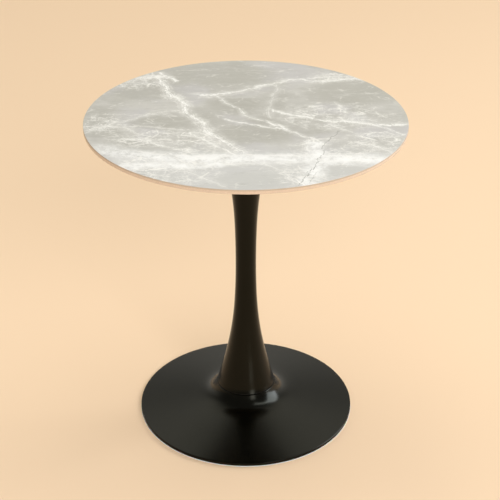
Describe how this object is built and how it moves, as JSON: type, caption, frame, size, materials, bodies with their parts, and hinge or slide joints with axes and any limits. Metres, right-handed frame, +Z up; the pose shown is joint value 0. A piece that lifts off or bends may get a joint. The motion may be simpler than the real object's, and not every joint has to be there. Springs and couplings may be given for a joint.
{
  "type": "pedestal table",
  "caption": "Round pedestal table with a thin stone-look slab on a waisted trumpet column and a low conical weighted base.",
  "frame": {"origin": "on the floor, on the column's axis", "axes": "+Z up along the column's axis; the picture's view comes from -Y with +X to the right"},
  "size_m": [0.6999, 0.7, 0.745],
  "materials": {
    "slab_stone": "satin sintered stone, light grey with white veins, plain tan body at the edge",
    "mesh_backing": "glass-fibre mesh in dark grey resin",
    "insert_brass": "turned brass",
    "gasket_rubber": "black rubber",
    "black_paint": "satin black powder coat, lightly textured",
    "zinc_steel": "bright zinc plate",
    "ballast_iron": "as cast, primed grey-black",
    "strip_pvc": "soft translucent PVC"
  },
  "bodies": {
    "root": {"table_top": "slab_stone", "backing_mesh": "mesh_backing", "threaded_inserts": "insert_brass", "top_gasket": "gasket_rubber", "top_plate": "black_paint", "column_locating_ring": "black_paint", "rod_boss": "zinc_steel", "top_screws": "zinc_steel", "top_washers": "zinc_steel", "column": "black_paint", "column_seal": "gasket_rubber", "base_cover": "black_paint", "hub_plate": "zinc_steel", "spacer_tube": "zinc_steel", "ballast": "ballast_iron", "tie_rod": "zinc_steel", "base_washer": "zinc_steel", "lock_washer": "zinc_steel", "base_nut": "zinc_steel", "floor_ring": "strip_pvc"}
  },
  "joints": []
}
